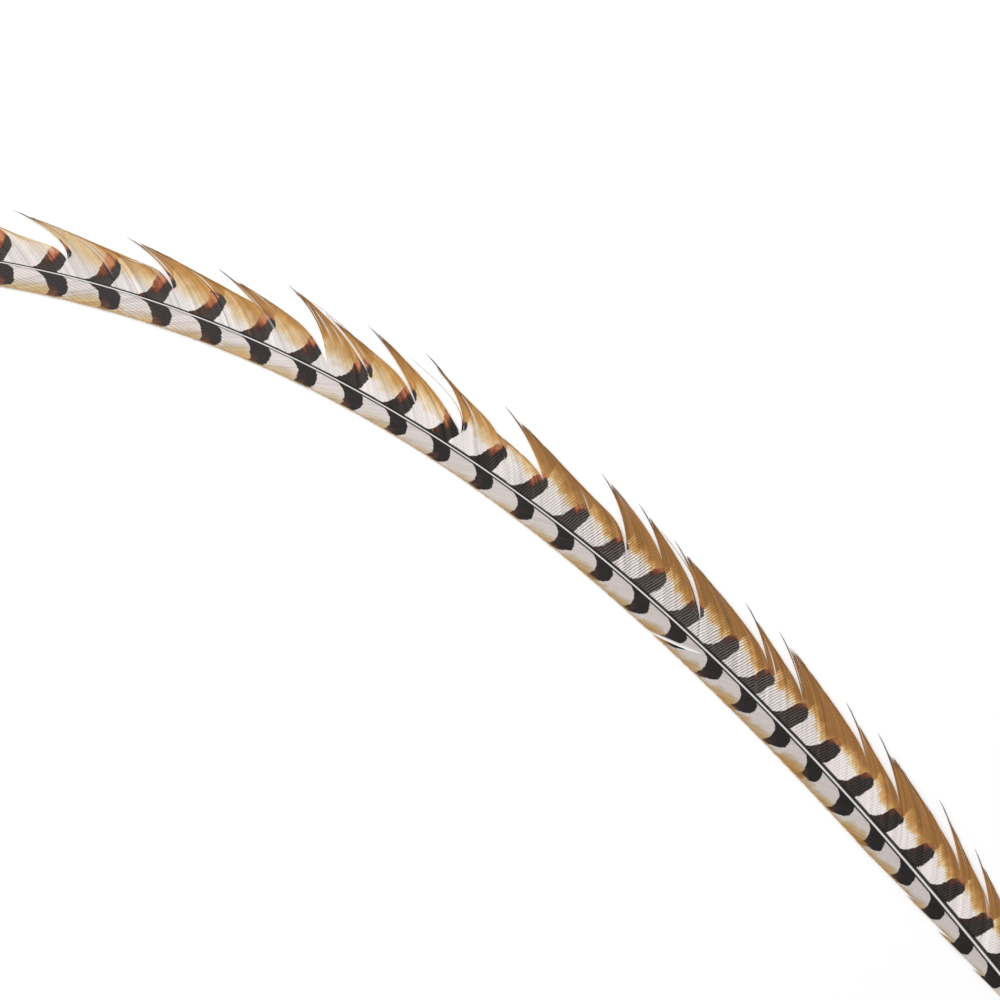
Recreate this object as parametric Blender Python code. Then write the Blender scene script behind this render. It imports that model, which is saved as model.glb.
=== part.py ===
"""Barred pheasant tail feather, lying flat with its good side up.

One grown piece: the shaft, from the bare quill to the hair-thin tip, with a wide vane split into
locks on the outer side of its bend and a narrow, nearly whole vane on the inner side.
Metres, +Z up. The straight line from quill to tip runs along +X, the wide vane is on the -Y side,
and the origin is on the surface that the feather lies on, at the middle of its outline.

The feather is one sheet of barb lines. Each line leaves the shaft and sweeps towards the tip.
Neighbouring lines are zipped together, except past the foot of a split, where one lock parts
from the next. Extruding the sheet to its upper surface closes the solid.
"""
import math
import random

import bmesh
import bpy
import numpy as np

for old in list(bpy.data.objects):
    bpy.data.objects.remove(old, do_unlink=True)

# Length and bend of the shaft. "From the tip" is measured along it.
SHAFT_LENGTH = 1.180
QUILL_BARE = 0.046
TIP_AT = (0.5510, 0.1055)
TIP_HEADING = 44.4
BEND_PER_METRE = 93.5
STRAIGHTENS_FROM = 0.28
STRAIGHTENING = 52.0

# Section of the shaft: an eight-sided bar with a flat belly
TIP_WIDTH, QUILL_WIDTH, WIDTH_GROWTH = 0.0005, 0.0038, 1.35
TIP_DEPTH, QUILL_DEPTH = 0.0009, 0.0038
BELLY_SHARE, SIDE_SHARE = 0.5, 0.42
BARE_SECTIONS = (0.012, 0.025)
QUILL_END_TAPER = ((0.009, 0.96), (0.003, 0.74), (0.0, 0.42))

# Bars are counted from the tip. The vanes part along a line just behind a bar.
FIRST_BAR, BAR_PITCH, BAR_SHRINK = 0.3154, 0.03306, 0.000132
BARS = range(-9, 28)
SPLIT_BEHIND_BAR = 0.012
LINES_PER_BAR = 3

# Both vanes draw in to a blunt point over CLOSES_OVER, as if it lay PAST_TIP beyond the shaft's tip
TIP_ROOTS = (0.0022, 0.0075, 0.0130)
PAST_TIP, CLOSES_OVER = 0.003, 0.038

# Wide vane: how far its barbs reach outward, and how far they lean towards the tip for that
WIDE_REACH, WIDE_TIP_REACH, WIDE_TAPER = 0.0330, 0.0040, 0.20
WIDE_LEAN, WIDE_TIP_LEAN = 1.60, 0.90
WIDE_CREST = 0.0022
WIDE_ANGLES = (50.0, 11.0)
WIDE_STATIONS = (0.0, 0.18, 0.36, 0.60, 0.82, 1.0)
WIDE_WHOLE_AT = (-6, 1, 3, 11, 15, 18, 21, 24)
WIDE_SLANT = 0.26

# Locks of the wide vane that differ from the rest, by the bar at their tip side:
# reach in metres, lean, slant of the outer edge, and how far the barb ends gather in a point
WIDE_LOCKS = {
    -1: (0.0265, 1.60, 0.40, 0.0),
    0: (0.0325, 1.56, 0.40, 0.0),
    2: (0.0330, 1.55, 0.36, 0.0),
    4: (0.0309, 1.76, 0.235, 0.0),
    5: (0.0385, 1.22, 0.10, 0.7),
    6: (0.0334, 1.72, 0.26, 0.0),
    7: (0.0380, 1.55, 0.20, 0.4),
    8: (0.0400, 1.52, 0.30, 0.20),
    9: (0.0230, 1.40, 0.20, 0.0),
    10: (0.0378, 1.58, 0.36, 0.0),
    12: (0.0400, 1.38, 0.15, 0.5),
    13: (0.0385, 1.40, 0.15, 0.5),
}

# Narrow vane
NARROW_REACH, NARROW_TAPER = 0.0128, 0.08
NARROW_LEAN, NARROW_TIP_LEAN = 2.60, 1.00
NARROW_WAVE, NARROW_WAVE_LENGTH = 0.0013, 0.56
NARROW_CREST = 0.0008
NARROW_ANGLES = (40.0, 9.0)
NARROW_STATIONS = (0.0, 0.30, 0.60, 0.82, 1.0)
NARROW_SPLIT_AT = (-8, -6, -4, -2, 21, 22, 23, 24, 25, 26)
NARROW_SLANT = 0.16

# Both vanes. Shares: of the reach for the common course and its two handles, of the lean that is
# lost across a lock, of the reach lost across a gathered lock, and of a root's way its end moves.
FOOT = 2
COMMON_REACH, START_HANDLE, ARRIVAL_HANDLE = 0.9, 0.40, 0.60
LEAN_LOSS, GATHERED_LOSS, GATHERED_WAY = 0.12, 0.1, 0.75
LONG_LOCK_BARS = 4.5
LOCK_VARIATION = 0.06
CREST_SHAPE = 1.5
TIP_LEAN_FADE, TIP_REACH_HEAD_START = 0.04, 0.012
BASE_NARROWS_OVER, BASE_REACH = 0.15, 0.34
VANE_DEPTH = 0.0005
EDGE_CLEARANCE = 0.0003
LOCK_LIFT = 0.0012
SEED = 7


def smooth(low, high, x):
    """0 below low, 1 above high, and an S-shaped rise between them."""
    x = min(max((x - low) / (high - low), 0.0), 1.0)
    return x * x * (3.0 - 2.0 * x)


def heading(from_tip):
    """Direction of the shaft, in degrees from +X: a steady bend that eases out towards the quill."""
    eased = np.maximum(from_tip - STRAIGHTENS_FROM, 0.0)
    return TIP_HEADING - BEND_PER_METRE * from_tip + STRAIGHTENING * eased**2


def shaft_table():
    """Distances from the tip and the plan positions there, by adding up short steps."""
    from_tip = np.linspace(-0.03, SHAFT_LENGTH, 2001)
    angle = np.radians(heading(from_tip))
    step = from_tip[1] - from_tip[0]
    middle = 0.5 * (angle[1:] + angle[:-1])
    x = -np.concatenate(([0.0], np.cumsum(np.cos(middle)))) * step
    y = -np.concatenate(([0.0], np.cumsum(np.sin(middle)))) * step
    x += TIP_AT[0] - np.interp(0.0, from_tip, x)
    y += TIP_AT[1] - np.interp(0.0, from_tip, y)
    return from_tip, x, y


TABLE = shaft_table()


def plan(from_tip, outward):
    """Plan position at a distance from the tip and outward of the shaft, + on the wide vane's side."""
    x = np.interp(from_tip, TABLE[0], TABLE[1])
    y = np.interp(from_tip, TABLE[0], TABLE[2])
    angle = math.radians(heading(from_tip))
    return x + outward * math.sin(angle), y - outward * math.cos(angle)


def shaft_width(from_tip):
    share = (max(from_tip, 0.0) / SHAFT_LENGTH) ** WIDTH_GROWTH
    return TIP_WIDTH + (QUILL_WIDTH - TIP_WIDTH) * share


def shaft_depth(from_tip):
    share = (max(from_tip, 0.0) / SHAFT_LENGTH) ** WIDTH_GROWTH
    return TIP_DEPTH + (QUILL_DEPTH - TIP_DEPTH) * share


def side_depth(from_tip):
    """Depth of the shaft's side: the vane's where there is one, and an octagon's on the quill."""
    vane_end = SHAFT_LENGTH - QUILL_BARE
    bare = smooth(vane_end - BARE_SECTIONS[0], vane_end + 0.5 * BARE_SECTIONS[0], from_tip)
    return VANE_DEPTH + bare * (SIDE_SHARE * shaft_depth(from_tip) - VANE_DEPTH)


def base_share(from_tip):
    """Share of the full reach that is left as the vane runs out towards the bare quill."""
    end = SHAFT_LENGTH - QUILL_BARE
    return 1.0 - (1.0 - BASE_REACH) * smooth(end - BASE_NARROWS_OVER, end, from_tip)


def wide_reach(from_tip):
    grown = 1.0 - math.exp(-max(from_tip, 0.0) / WIDE_TAPER)
    return (WIDE_TIP_REACH + WIDE_REACH * grown) * base_share(from_tip)


def narrow_reach(from_tip):
    wave = NARROW_WAVE * math.cos(2.0 * math.pi * (from_tip - STRAIGHTENS_FROM) / NARROW_WAVE_LENGTH)
    grown = 1.0 - math.exp(-(max(from_tip, 0.0) + TIP_REACH_HEAD_START) / NARROW_TAPER)
    return (NARROW_REACH + wave) * grown * base_share(from_tip)


def closing(from_tip):
    """Share of the full reach that is left as both vanes draw in to the shaft's tip."""
    opened = min((from_tip + PAST_TIP) / (CLOSES_OVER + PAST_TIP), 1.0)
    return 1.0 - (1.0 - opened) ** 2


def bar_at(number):
    """Distance from the tip to the quill side of a bar, on the shaft."""
    return FIRST_BAR + BAR_PITCH * number - BAR_SHRINK * number**2


class Vane:
    """What one vane's barb lines have in common. side is +1 for the wide vane."""

    def __init__(self, side):
        self.side = side
        wide = side > 0
        self.reach_at = wide_reach if wide else narrow_reach
        self.lean, self.tip_lean = (WIDE_LEAN, WIDE_TIP_LEAN) if wide else (NARROW_LEAN, NARROW_TIP_LEAN)
        self.crest = WIDE_CREST if wide else NARROW_CREST
        self.angles = [math.radians(a) for a in (WIDE_ANGLES if wide else NARROW_ANGLES)]
        self.stations = WIDE_STATIONS if wide else NARROW_STATIONS
        self.slant = WIDE_SLANT if wide else NARROW_SLANT
        self.special = WIDE_LOCKS if wide else {}


class Lock:
    """Barb lines that stay zipped together, from a first root at the tip side to a last one."""

    def __init__(self, vane, first_root, last_root, bar, rng):
        self.vane, self.first, self.last = vane, first_root, last_root
        long_one = last_root - first_root > LONG_LOCK_BARS * BAR_PITCH
        usual = (None, None, 0.0 if long_one else vane.slant, 0.0)
        self.reach, self.own_lean, self.slant, self.gather = vane.special.get(bar, usual)
        variation = 0.0 if long_one else LOCK_VARIATION
        self.grown = rng.uniform(1.0 - variation, 1.0 + variation)
        self.lift = rng.uniform(0.0, LOCK_LIFT)

    def reach_of(self, root):
        return (self.reach or self.vane.reach_at(root) * self.grown) * closing(root)

    def lean_of(self, root):
        return self.own_lean or self.vane.lean + self.vane.tip_lean * math.exp(-root / TIP_LEAN_FADE)

    def end(self, root):
        """Where a barb line ends: its lean towards the tip and its reach outward.

        Across the lock, from its tip side to its quill side, the ends drop by its slant. A lock that
        gathers draws all its ends to the first one, which is its tip.
        """
        across = (root - self.first) / (self.last - self.first)
        reach, lean = self.reach_of(root), self.lean_of(root)
        lean_loss = LEAN_LOSS if self.slant else 0.0
        along = lean * reach * (1.0 - lean_loss * across)
        out = reach * (1.0 - self.slant * across)
        to_tip = lean * reach + GATHERED_WAY * (root - self.first)
        along += (to_tip - along) * self.gather
        out += (reach * (1.0 - GATHERED_LOSS * across) - out) * self.gather
        return along, out

    def point(self, root, share):
        """A point of a barb line, as distance from the tip and outward distance.

        The line is a cubic curve that leaves the shaft at one angle, bends towards the tip and
        arrives nearly along the shaft. Up to the foot of a split all lines keep a common course,
        and past it they turn to the ends that their lock gives them.
        """
        apart = smooth(self.vane.stations[FOOT], 1.0, share)
        common = COMMON_REACH * self.reach_of(root)
        common_along = self.lean_of(root) * common
        end_along, end_out = self.end(root)
        along = common_along + (end_along - common_along) * apart
        out = common + (end_out - common) * apart
        leaving, arriving = self.vane.angles
        start, arrival = START_HANDLE * common, ARRIVAL_HANDLE * common
        points = (
            (0.0, 0.0),
            (start * math.cos(leaving), start * math.sin(leaving)),
            (along - arrival * math.cos(arriving), out - arrival * math.sin(arriving)),
            (along, out),
        )
        rest = 1.0 - share
        weights = (rest**3, 3.0 * rest**2 * share, 3.0 * rest * share**2, share**3)
        towards_tip = sum(w * p[0] for w, p in zip(weights, points))
        outward = sum(w * p[1] for w, p in zip(weights, points))
        return root - towards_tip, outward + 0.5 * shaft_width(root)

    def heights(self, outward, root, share):
        """Under and upper side: down from the shaft's side, over a low crest, to the edge."""
        q = min(max((outward - 0.5 * shaft_width(root)) / self.reach_of(root), 0.0), 1.0)
        attach = 0.5 * shaft_depth(root) - 0.5 * VANE_DEPTH
        free = smooth(self.vane.stations[FOOT], 1.0, share)
        low = EDGE_CLEARANCE + (attach - EDGE_CLEARANCE) * (1.0 - q) ** 2
        low += self.vane.crest * math.sin(math.pi * q) ** CREST_SHAPE + self.lift * free
        return low, low + VANE_DEPTH


def root_lines():
    """Roots of the barb lines from tip to base, with the bar's number where a split can start."""
    last = SHAFT_LENGTH - QUILL_BARE
    lines = [(root, BARS[0] if root == TIP_ROOTS[0] else None) for root in TIP_ROOTS]
    for number in BARS:
        start = bar_at(number) + SPLIT_BEHIND_BAR
        pitch = bar_at(number + 1) - bar_at(number)
        for line in range(LINES_PER_BAR):
            root = start + pitch * line / LINES_PER_BAR
            if 0.0 <= root < last - 0.5 * pitch / LINES_PER_BAR:
                lines.append((root, number if line == 0 and number > BARS[0] else None))
    lines.append((last, None))
    return lines


def lock_spans(lines, is_split):
    """First and last line of each lock, with the bar number at its tip side."""
    cuts = [i for i, (_, number) in enumerate(lines) if number is not None and is_split(number)]
    ends = sorted({0, len(lines) - 1, *cuts})
    return [(first, last, lines[first][1]) for first, last in zip(ends[:-1], ends[1:])]


class Sheet:
    """The underside of the feather as quads, each vertex carrying the height of the upper side."""

    def __init__(self):
        self.mesh = bmesh.new()
        self.top = self.mesh.verts.layers.float.new("top_height")

    def vertex(self, from_tip, outward, low, high):
        x, y = plan(from_tip, outward)
        made = self.mesh.verts.new((x, y, low))
        made[self.top] = high
        return made

    def patch(self, columns):
        """Faces between neighbouring columns of vertices."""
        for left, right in zip(columns[:-1], columns[1:]):
            for i in range(len(left) - 1):
                self.mesh.faces.new((left[i], right[i], right[i + 1], left[i + 1]))

    def close(self):
        """Extrudes the underside to the upper side."""
        grown = bmesh.ops.extrude_face_region(self.mesh, geom=self.mesh.faces[:])
        for made in grown["geom"]:
            if isinstance(made, bmesh.types.BMVert):
                made.co.z = made[self.top]
        bmesh.ops.recalc_face_normals(self.mesh, faces=self.mesh.faces[:])


def shaft_columns(sheet, lines):
    """Four lines of vertices across the shaft at each root, from the narrow to the wide side."""
    sections = [(root, 1.0) for root, _ in lines]
    sections += [(lines[-1][0] + further, 1.0) for further in BARE_SECTIONS]
    sections += [(SHAFT_LENGTH - back, share) for back, share in QUILL_END_TAPER]
    columns = []
    for from_tip, share in sections:
        half = 0.5 * shaft_width(from_tip) * share
        top = 0.5 * shaft_depth(from_tip) * (1.0 + share)
        middle = 0.5 * shaft_depth(from_tip)
        side = 0.5 * side_depth(from_tip) * share
        columns.append([
            sheet.vertex(from_tip, -half, middle - side, middle + side),
            sheet.vertex(from_tip, -half * BELLY_SHARE, 0.0, top),
            sheet.vertex(from_tip, half * BELLY_SHARE, 0.0, top),
            sheet.vertex(from_tip, half, middle - side, middle + side),
        ])
    return columns


def add_vane(sheet, lines, shaft, vane, spans, rng):
    """One vane. Two locks share their line up to the foot of the split, and part from there."""
    zipped = None
    for first, last, bar in spans:
        lock = Lock(vane, lines[first][0], lines[last][0], bar, rng)
        columns = []
        for i in range(first, last + 1):
            root = lines[i][0]
            column = [shaft[i][3 if vane.side > 0 else 0]]
            for j, share in enumerate(vane.stations[1:], start=1):
                if i == first and zipped is not None and j <= FOOT:
                    column.append(zipped[j])
                    continue
                from_tip, outward = lock.point(root, share)
                low, high = lock.heights(outward, root, share)
                column.append(sheet.vertex(from_tip, vane.side * outward, low, high))
            columns.append(column)
        sheet.patch(columns)
        zipped = columns[-1]


def feather_material():
    material = bpy.data.materials.new("barred feather")
    material.use_nodes = True
    shader = material.node_tree.nodes["Principled BSDF"]
    shader.inputs["Base Color"].default_value = (0.62, 0.53, 0.42, 1.0)
    shader.inputs["Roughness"].default_value = 0.6
    shader.inputs["Metallic"].default_value = 0.0
    return material


def make_feather():
    rng = random.Random(SEED)
    sheet = Sheet()
    lines = root_lines()
    shaft = shaft_columns(sheet, lines)
    sheet.patch(shaft)
    wide = lock_spans(lines, lambda number: number not in WIDE_WHOLE_AT)
    narrow = lock_spans(lines, lambda number: number in NARROW_SPLIT_AT)
    add_vane(sheet, lines, shaft, Vane(1), wide, rng)
    add_vane(sheet, lines, shaft, Vane(-1), narrow, rng)
    sheet.close()
    mesh = bpy.data.meshes.new("feather")
    sheet.mesh.to_mesh(mesh)
    sheet.mesh.free()
    mesh.shade_smooth()
    mesh.set_sharp_from_angle(angle=math.radians(40))
    feather = bpy.data.objects.new("feather", mesh)
    mesh.materials.append(feather_material())
    bpy.context.collection.objects.link(feather)
    return feather


make_feather()
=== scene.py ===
import math
import random
from functools import partial
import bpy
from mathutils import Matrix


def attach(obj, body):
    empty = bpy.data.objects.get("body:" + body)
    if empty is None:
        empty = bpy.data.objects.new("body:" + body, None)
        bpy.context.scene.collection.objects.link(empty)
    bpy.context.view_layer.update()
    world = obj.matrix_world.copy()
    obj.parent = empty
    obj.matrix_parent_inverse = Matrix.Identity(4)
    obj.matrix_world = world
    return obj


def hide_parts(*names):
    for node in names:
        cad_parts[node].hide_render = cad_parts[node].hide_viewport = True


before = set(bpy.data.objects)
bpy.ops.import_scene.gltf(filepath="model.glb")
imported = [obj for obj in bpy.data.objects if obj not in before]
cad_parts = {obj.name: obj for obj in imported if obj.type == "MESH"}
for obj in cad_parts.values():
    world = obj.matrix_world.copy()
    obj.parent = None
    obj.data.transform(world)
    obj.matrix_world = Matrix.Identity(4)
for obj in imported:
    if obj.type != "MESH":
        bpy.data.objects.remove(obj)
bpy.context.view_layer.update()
from types import SimpleNamespace
import bpy
import numpy as np

# Places on the feather are given as a distance from the tip along the shaft, and outward from the
# shaft's middle line. Lengths are metres unless a name ends in Mm.

shaft = {
    "length": 1.180,
    "bareQuill": 0.046,
    "tipAt": (0.5510, 0.1055),  # plan position of the tip
    "tipHeading": 44.4,  # degrees from +X
    "bendPerMetre": 93.5,
    "straightensFrom": 0.28,
    "straightening": 52.0,
    "tipWidth": 0.0005, "quillWidth": 0.0038,
    "tipDepth": 0.0009, "quillDepth": 0.0038,
    "growth": 1.35,  # power by which width and depth grow towards the quill
    "quillTaper": ((0.009, 0.96), (0.003, 0.74), (0.0, 0.42)),  # metres from its end, and share of the size
    "fullFrom": 0.016,  # metres from the quill's end where the taper starts
    "pastTip": 0.004, "pointOver": 0.0045,  # the horn's own thin point
    "stations": 560,
    "quillEnd": 0.012, "endStations": 14,  # closer stations round off the quill's end
    "sides": 20,
    "squareness": 2.4,  # 2 is an ellipse
    "groove": 0.16, "grooveWidth": 0.55,  # of the depth and width, under the part that carries the vanes
    "grooveEnds": (0.02, 0.004),  # before and after the last barb
    "baseOver": 0.15, "baseLoses": 0.66,  # over this far the vanes lose this share of their reach
}

bars = {
    "first": 0.3154,  # from the tip to the quill side of bar 0
    "pitch": 0.03306,
    "shrink": 0.000132,  # the pitch loses twice this from one bar to the next
    "numbers": range(-9, 28),
    "splitBehind": 0.012,  # a split opens this far behind its bar
}


def smoothStep(low, high, x):
    # 0 below low, 1 above high, and an S-shaped rise between them
    x = np.clip((x - low) / (high - low), 0.0, 1.0)
    return x * x * (3.0 - 2.0 * x)


def headingAt(fromTip):
    # direction of the shaft: a steady bend that eases out towards the quill, by the square of the way
    eased = np.maximum(fromTip - shaft["straightensFrom"], 0.0)
    turned = shaft["tipHeading"] - shaft["bendPerMetre"] * fromTip
    return np.radians(turned + shaft["straightening"] * eased**2)


def addUpShaft():
    # the shaft's plan line: short steps along its direction, added up from the tip
    fromTip = np.linspace(-0.03, shaft["length"], 4001)
    angle = headingAt(fromTip)
    middle = 0.5 * (angle[1:] + angle[:-1])
    step = fromTip[1] - fromTip[0]
    x = -np.concatenate(([0.0], np.cumsum(np.cos(middle)))) * step
    y = -np.concatenate(([0.0], np.cumsum(np.sin(middle)))) * step
    x += shaft["tipAt"][0] - np.interp(0.0, fromTip, x)
    y += shaft["tipAt"][1] - np.interp(0.0, fromTip, y)
    return fromTip, x, y


shaftLine = addUpShaft()


def planAt(fromTip, outward):
    # a step square to the shaft from its line, + on the wide vane's side
    x = np.interp(fromTip, shaftLine[0], shaftLine[1])
    y = np.interp(fromTip, shaftLine[0], shaftLine[2])
    angle = headingAt(fromTip)
    return x + outward * np.sin(angle), y - outward * np.cos(angle)


def shaftSize(fromTip, thin, thick):
    # width or depth, growing from the tip by a power of the distance
    share = (np.maximum(fromTip, 0.0) / shaft["length"]) ** shaft["growth"]
    return thin + (thick - thin) * share


def shaftWidth(fromTip):
    return shaftSize(fromTip, shaft["tipWidth"], shaft["quillWidth"])


def shaftDepth(fromTip):
    return shaftSize(fromTip, shaft["tipDepth"], shaft["quillDepth"])


def barAt(number):
    # distance from the tip to a bar's quill side: a pitch that shrinks evenly from bar to bar
    return bars["first"] + bars["pitch"] * number - bars["shrink"] * number**2


def barNumber(fromTip):
    # the other way round: the root of the same square law, as a number with a fraction
    ahead = np.sqrt(np.maximum(bars["pitch"] ** 2 - 4.0 * bars["shrink"] * (fromTip - bars["first"]), 1e-9))
    return (bars["pitch"] - ahead) / (2.0 * bars["shrink"])


vaneEnd = shaft["length"] - shaft["bareQuill"]


def baseShare(fromTip):
    # share of the full reach that is left as the vanes run out towards the bare quill
    return 1.0 - shaft["baseLoses"] * smoothStep(vaneEnd - shaft["baseOver"], vaneEnd, fromTip)


wideVane = {
    "side": 1.0,
    "seed": 20,
    "parts": (0.36, 0.74),  # where its pieces part, from the tip
    "reach": 0.0330, "tipReach": 0.0040, "taper": 0.20,
    "lean": 1.60, "tipLean": 0.90,
    "crest": 0.0022,
    "angles": (50.0, 11.0),  # a barb leaves and arrives at these, in degrees from the shaft
    "handles": (0.46, 0.80),  # how long it keeps them, as shares of its reach
    "apartFrom": 0.36,  # share of a barb from which the locks part
    "wholeAt": (-6, 1, 3, 11, 15, 18, 21, 24),
    "slant": 0.26,
    "pull": (0.0, 0.26),  # of the way to the clump's middle
    # slits between barbs: bar number at the root, shares of the barb where it starts and ends, its
    # opening, how much of that lies on the tip side, and over how far it fades if that isn't the usual
    "slits": (
        (0.365, 0.30, 1.05, 0.0060, 0.0), (1.16, 0.20, 1.15, 0.0007, 0.5), (1.27, 0.42, 1.05, 0.0005, 0.5),
        (2.26, 0.40, 1.1, 0.0006, 0.5), (2.33, 0.40, 1.0, 0.0005, 0.5), (2.365, 0.30, 1.05, 0.0036, 0.0),
        (4.43, 0.22, 0.95, 0.0008, 0.5), (5.60, 0.45, 1.2, 0.0012, 0.5), (5.85, 0.45, 1.1, 0.0009, 0.5),
        (6.365, 0.25, 1.15, 0.0150, 0.85), (8.365, 0.24, 1.30, 0.0190, 0.60, 0.015),
        (8.80, 0.30, 0.95, 0.0009, 0.5), (14.365, 0.25, 1.4, 0.0095, 0.7),
    ),
    "paintedShadeAt": (1.52, 2.34, 3.32, 4.47, 14.35),  # painted shade: single barbs set far darker, as thin lines of shadow between barbs
    "looseEvery": 1.6,  # bars from one small slit to the next, on average
    # locks that differ, by the bar at their tip side: reach, lean, slant of the outer edge, gathering
    "locks": {
        -1: (0.0265, 1.60, 0.40, 0.0),
        0: (0.0325, 1.56, 0.40, 0.0),
        2: (0.0330, 1.55, 0.36, 0.0),
        4: (0.0309, 1.76, 0.235, 0.0),
        5: (0.0385, 1.22, 0.10, 0.7),
        6: (0.0334, 1.72, 0.26, 0.0),
        7: (0.0380, 1.55, 0.20, 0.4),
        8: (0.0400, 1.52, 0.30, 0.20),
        9: (0.0230, 1.40, 0.20, 0.0),
        10: (0.0378, 1.58, 0.36, 0.0),
        12: (0.0400, 1.38, 0.15, 0.5),
        13: (0.0385, 1.40, 0.15, 0.5),
    },
}

narrowVane = {
    "side": -1.0,
    "seed": 40,
    "parts": (0.56,),
    "reach": 0.0128, "taper": 0.08, "headStart": 0.012,
    "wave": 0.0013, "waveLength": 0.56, "waveFrom": 0.28,
    "lean": 2.60, "tipLean": 1.00,
    "crest": 0.0008,
    "angles": (40.0, 9.0),
    "handles": (0.40, 0.60),
    "apartFrom": 0.60,
    "splitAt": (-8, -6, -4, -2, 21, 22, 23, 24, 25, 26),
    "slant": 0.16,
    "pull": (0.0, 0.08),
    "slits": ((14.72, 0.10, 1.2, 0.0062, 0.5),),
    "paintedShadeAt": (14.76,),
    "looseEvery": 60.0,
    "locks": {},
}

barbs = {
    "spacing": 0.00058,  # along the shaft
    "stations": 15,
    "seed": 7,
    "lockVariation": 0.06,
    "lockLift": 0.0012,
    "longLock": 4.5,  # in bars: a longer one has a whole edge
    "commonReach": 0.9,  # share of the reach that sets the course which all barbs keep at first
    "tipLeanOver": 0.04,
    "leanLost": 0.12,  # share of the lean that is lost across a slanted lock
    "gathersAlong": 0.75, "gathersOut": 0.1,  # how far a gathered lock's barbs go on to its tip
    "uneven": 0.022,  # barb ends aren't cut to a line
    "overlap": 1.45,
    "widest": 0.00068, "thinnest": 0.00026,
    "endWidth": 0.25, "endTaper": 0.12,  # the last eighth of a barb narrows to this share
    "ridge": 0.34, "leastRidge": 0.00003,  # height of a barb's ridge as a share of its half width
    "tilt": 0.25,  # of the half width, by which one side lies higher
    "rootDepth": 0.00042, "endDepth": 0.00010,
    "clearance": 0.0003, "halfDepth": 0.00025,  # over the floor, and up from there to a barb's middle
    "crestShape": 1.5,
    "clump": (5, 18),  # barbs that cling together at their ends
    "clumpFrom": 0.45, "clumpLift": 0.00045, "barbLift": 0.00006,
    "firstAt": 0.0022,  # from the shaft's tip
    "pastTip": 0.0030, "closesOver": 0.038,  # the vanes draw in over this far, to a point past the tip
    "hairOver": 0.0008,  # only barbs this near to a lock's first one keep their whole length, as hairs
    "slimmer": 0.6, "slimReach": (0.012, 0.030),  # hairs are finer by this where the reach is short
    "short": 0.24,  # share that the barbs next to the hairs lack
    "shortFrom": 0.0015, "shortOver": 0.009, "shortReach": 0.030,
    "looseStart": (0.35, 0.75), "looseRun": (0.25, 0.6), "looseOpening": (0.0003, 0.0009),
    "slitFades": 0.007, "slitShape": 0.8,
    "paintedHighlightOver": 0.00034, "paintedHighlightFull": 0.0006, "paintedHighlightUpTo": 0.002,  # painted highlight: barbs beside a slit this narrow are coloured near white, for the bright floor seen through it
    "toneOwn": 0.5, "toneSlow": 0.7, "toneOver": 4, "paintedShadeTone": -3.0,
}


def wideReach(fromTip):
    # grows from the tip as one minus e to the minus distance over a length
    grown = 1.0 - np.exp(-np.maximum(fromTip, 0.0) / wideVane["taper"])
    return (wideVane["tipReach"] + wideVane["reach"] * grown) * baseShare(fromTip)


def narrowReach(fromTip):
    # the same, with a slow cosine wave
    phase = (fromTip - narrowVane["waveFrom"]) / narrowVane["waveLength"]
    wave = narrowVane["wave"] * np.cos(2.0 * math.pi * phase)
    grown = 1.0 - np.exp(-(np.maximum(fromTip, 0.0) + narrowVane["headStart"]) / narrowVane["taper"])
    return (narrowVane["reach"] + wave) * grown * baseShare(fromTip)


def findLocks(vane, rng):
    # a lock runs from one split to the next; each row is first root, last root, reach, lean, slant,
    # gathering, growth and lift
    first = barAt(bars["numbers"][0]) + bars["splitBehind"]
    cuts = [(first, bars["numbers"][0])]
    for number in bars["numbers"][1:]:
        isCut = number in vane["splitAt"] if "splitAt" in vane else number not in vane["wholeAt"]
        root = barAt(number) + bars["splitBehind"]
        if isCut and root < vaneEnd:
            cuts.append((root, number))
    rows = []
    for (root, number), (last, _) in zip(cuts, cuts[1:] + [(vaneEnd, None)]):
        isLong = last - root > barbs["longLock"] * bars["pitch"]
        usual = (0.0, 0.0, 0.0 if isLong else vane["slant"], 0.0)
        reach, lean, slant, gather = vane["locks"].get(number, usual)
        varied = 0.0 if isLong else barbs["lockVariation"]
        grown = rng.uniform(1.0 - varied, 1.0 + varied)
        rows.append((root, last, reach, lean, slant, gather, grown, rng.uniform(0.0, barbs["lockLift"])))
    return np.array(rows)


def makeClumps(count, pull, noise):
    # barbs cling together in small clumps: for each barb its clump's middle barb, and how hard it pulls
    sizes = noise.integers(*barbs["clump"], count)
    ends = np.minimum(np.cumsum(sizes), count)
    index = np.searchsorted(ends, np.arange(count), side="right")
    starts = np.concatenate(([0], ends[:-1]))
    middles = 0.5 * (starts + ends - 1)
    pulls = noise.uniform(*pull, count)
    return middles[index], pulls[index], index


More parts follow.
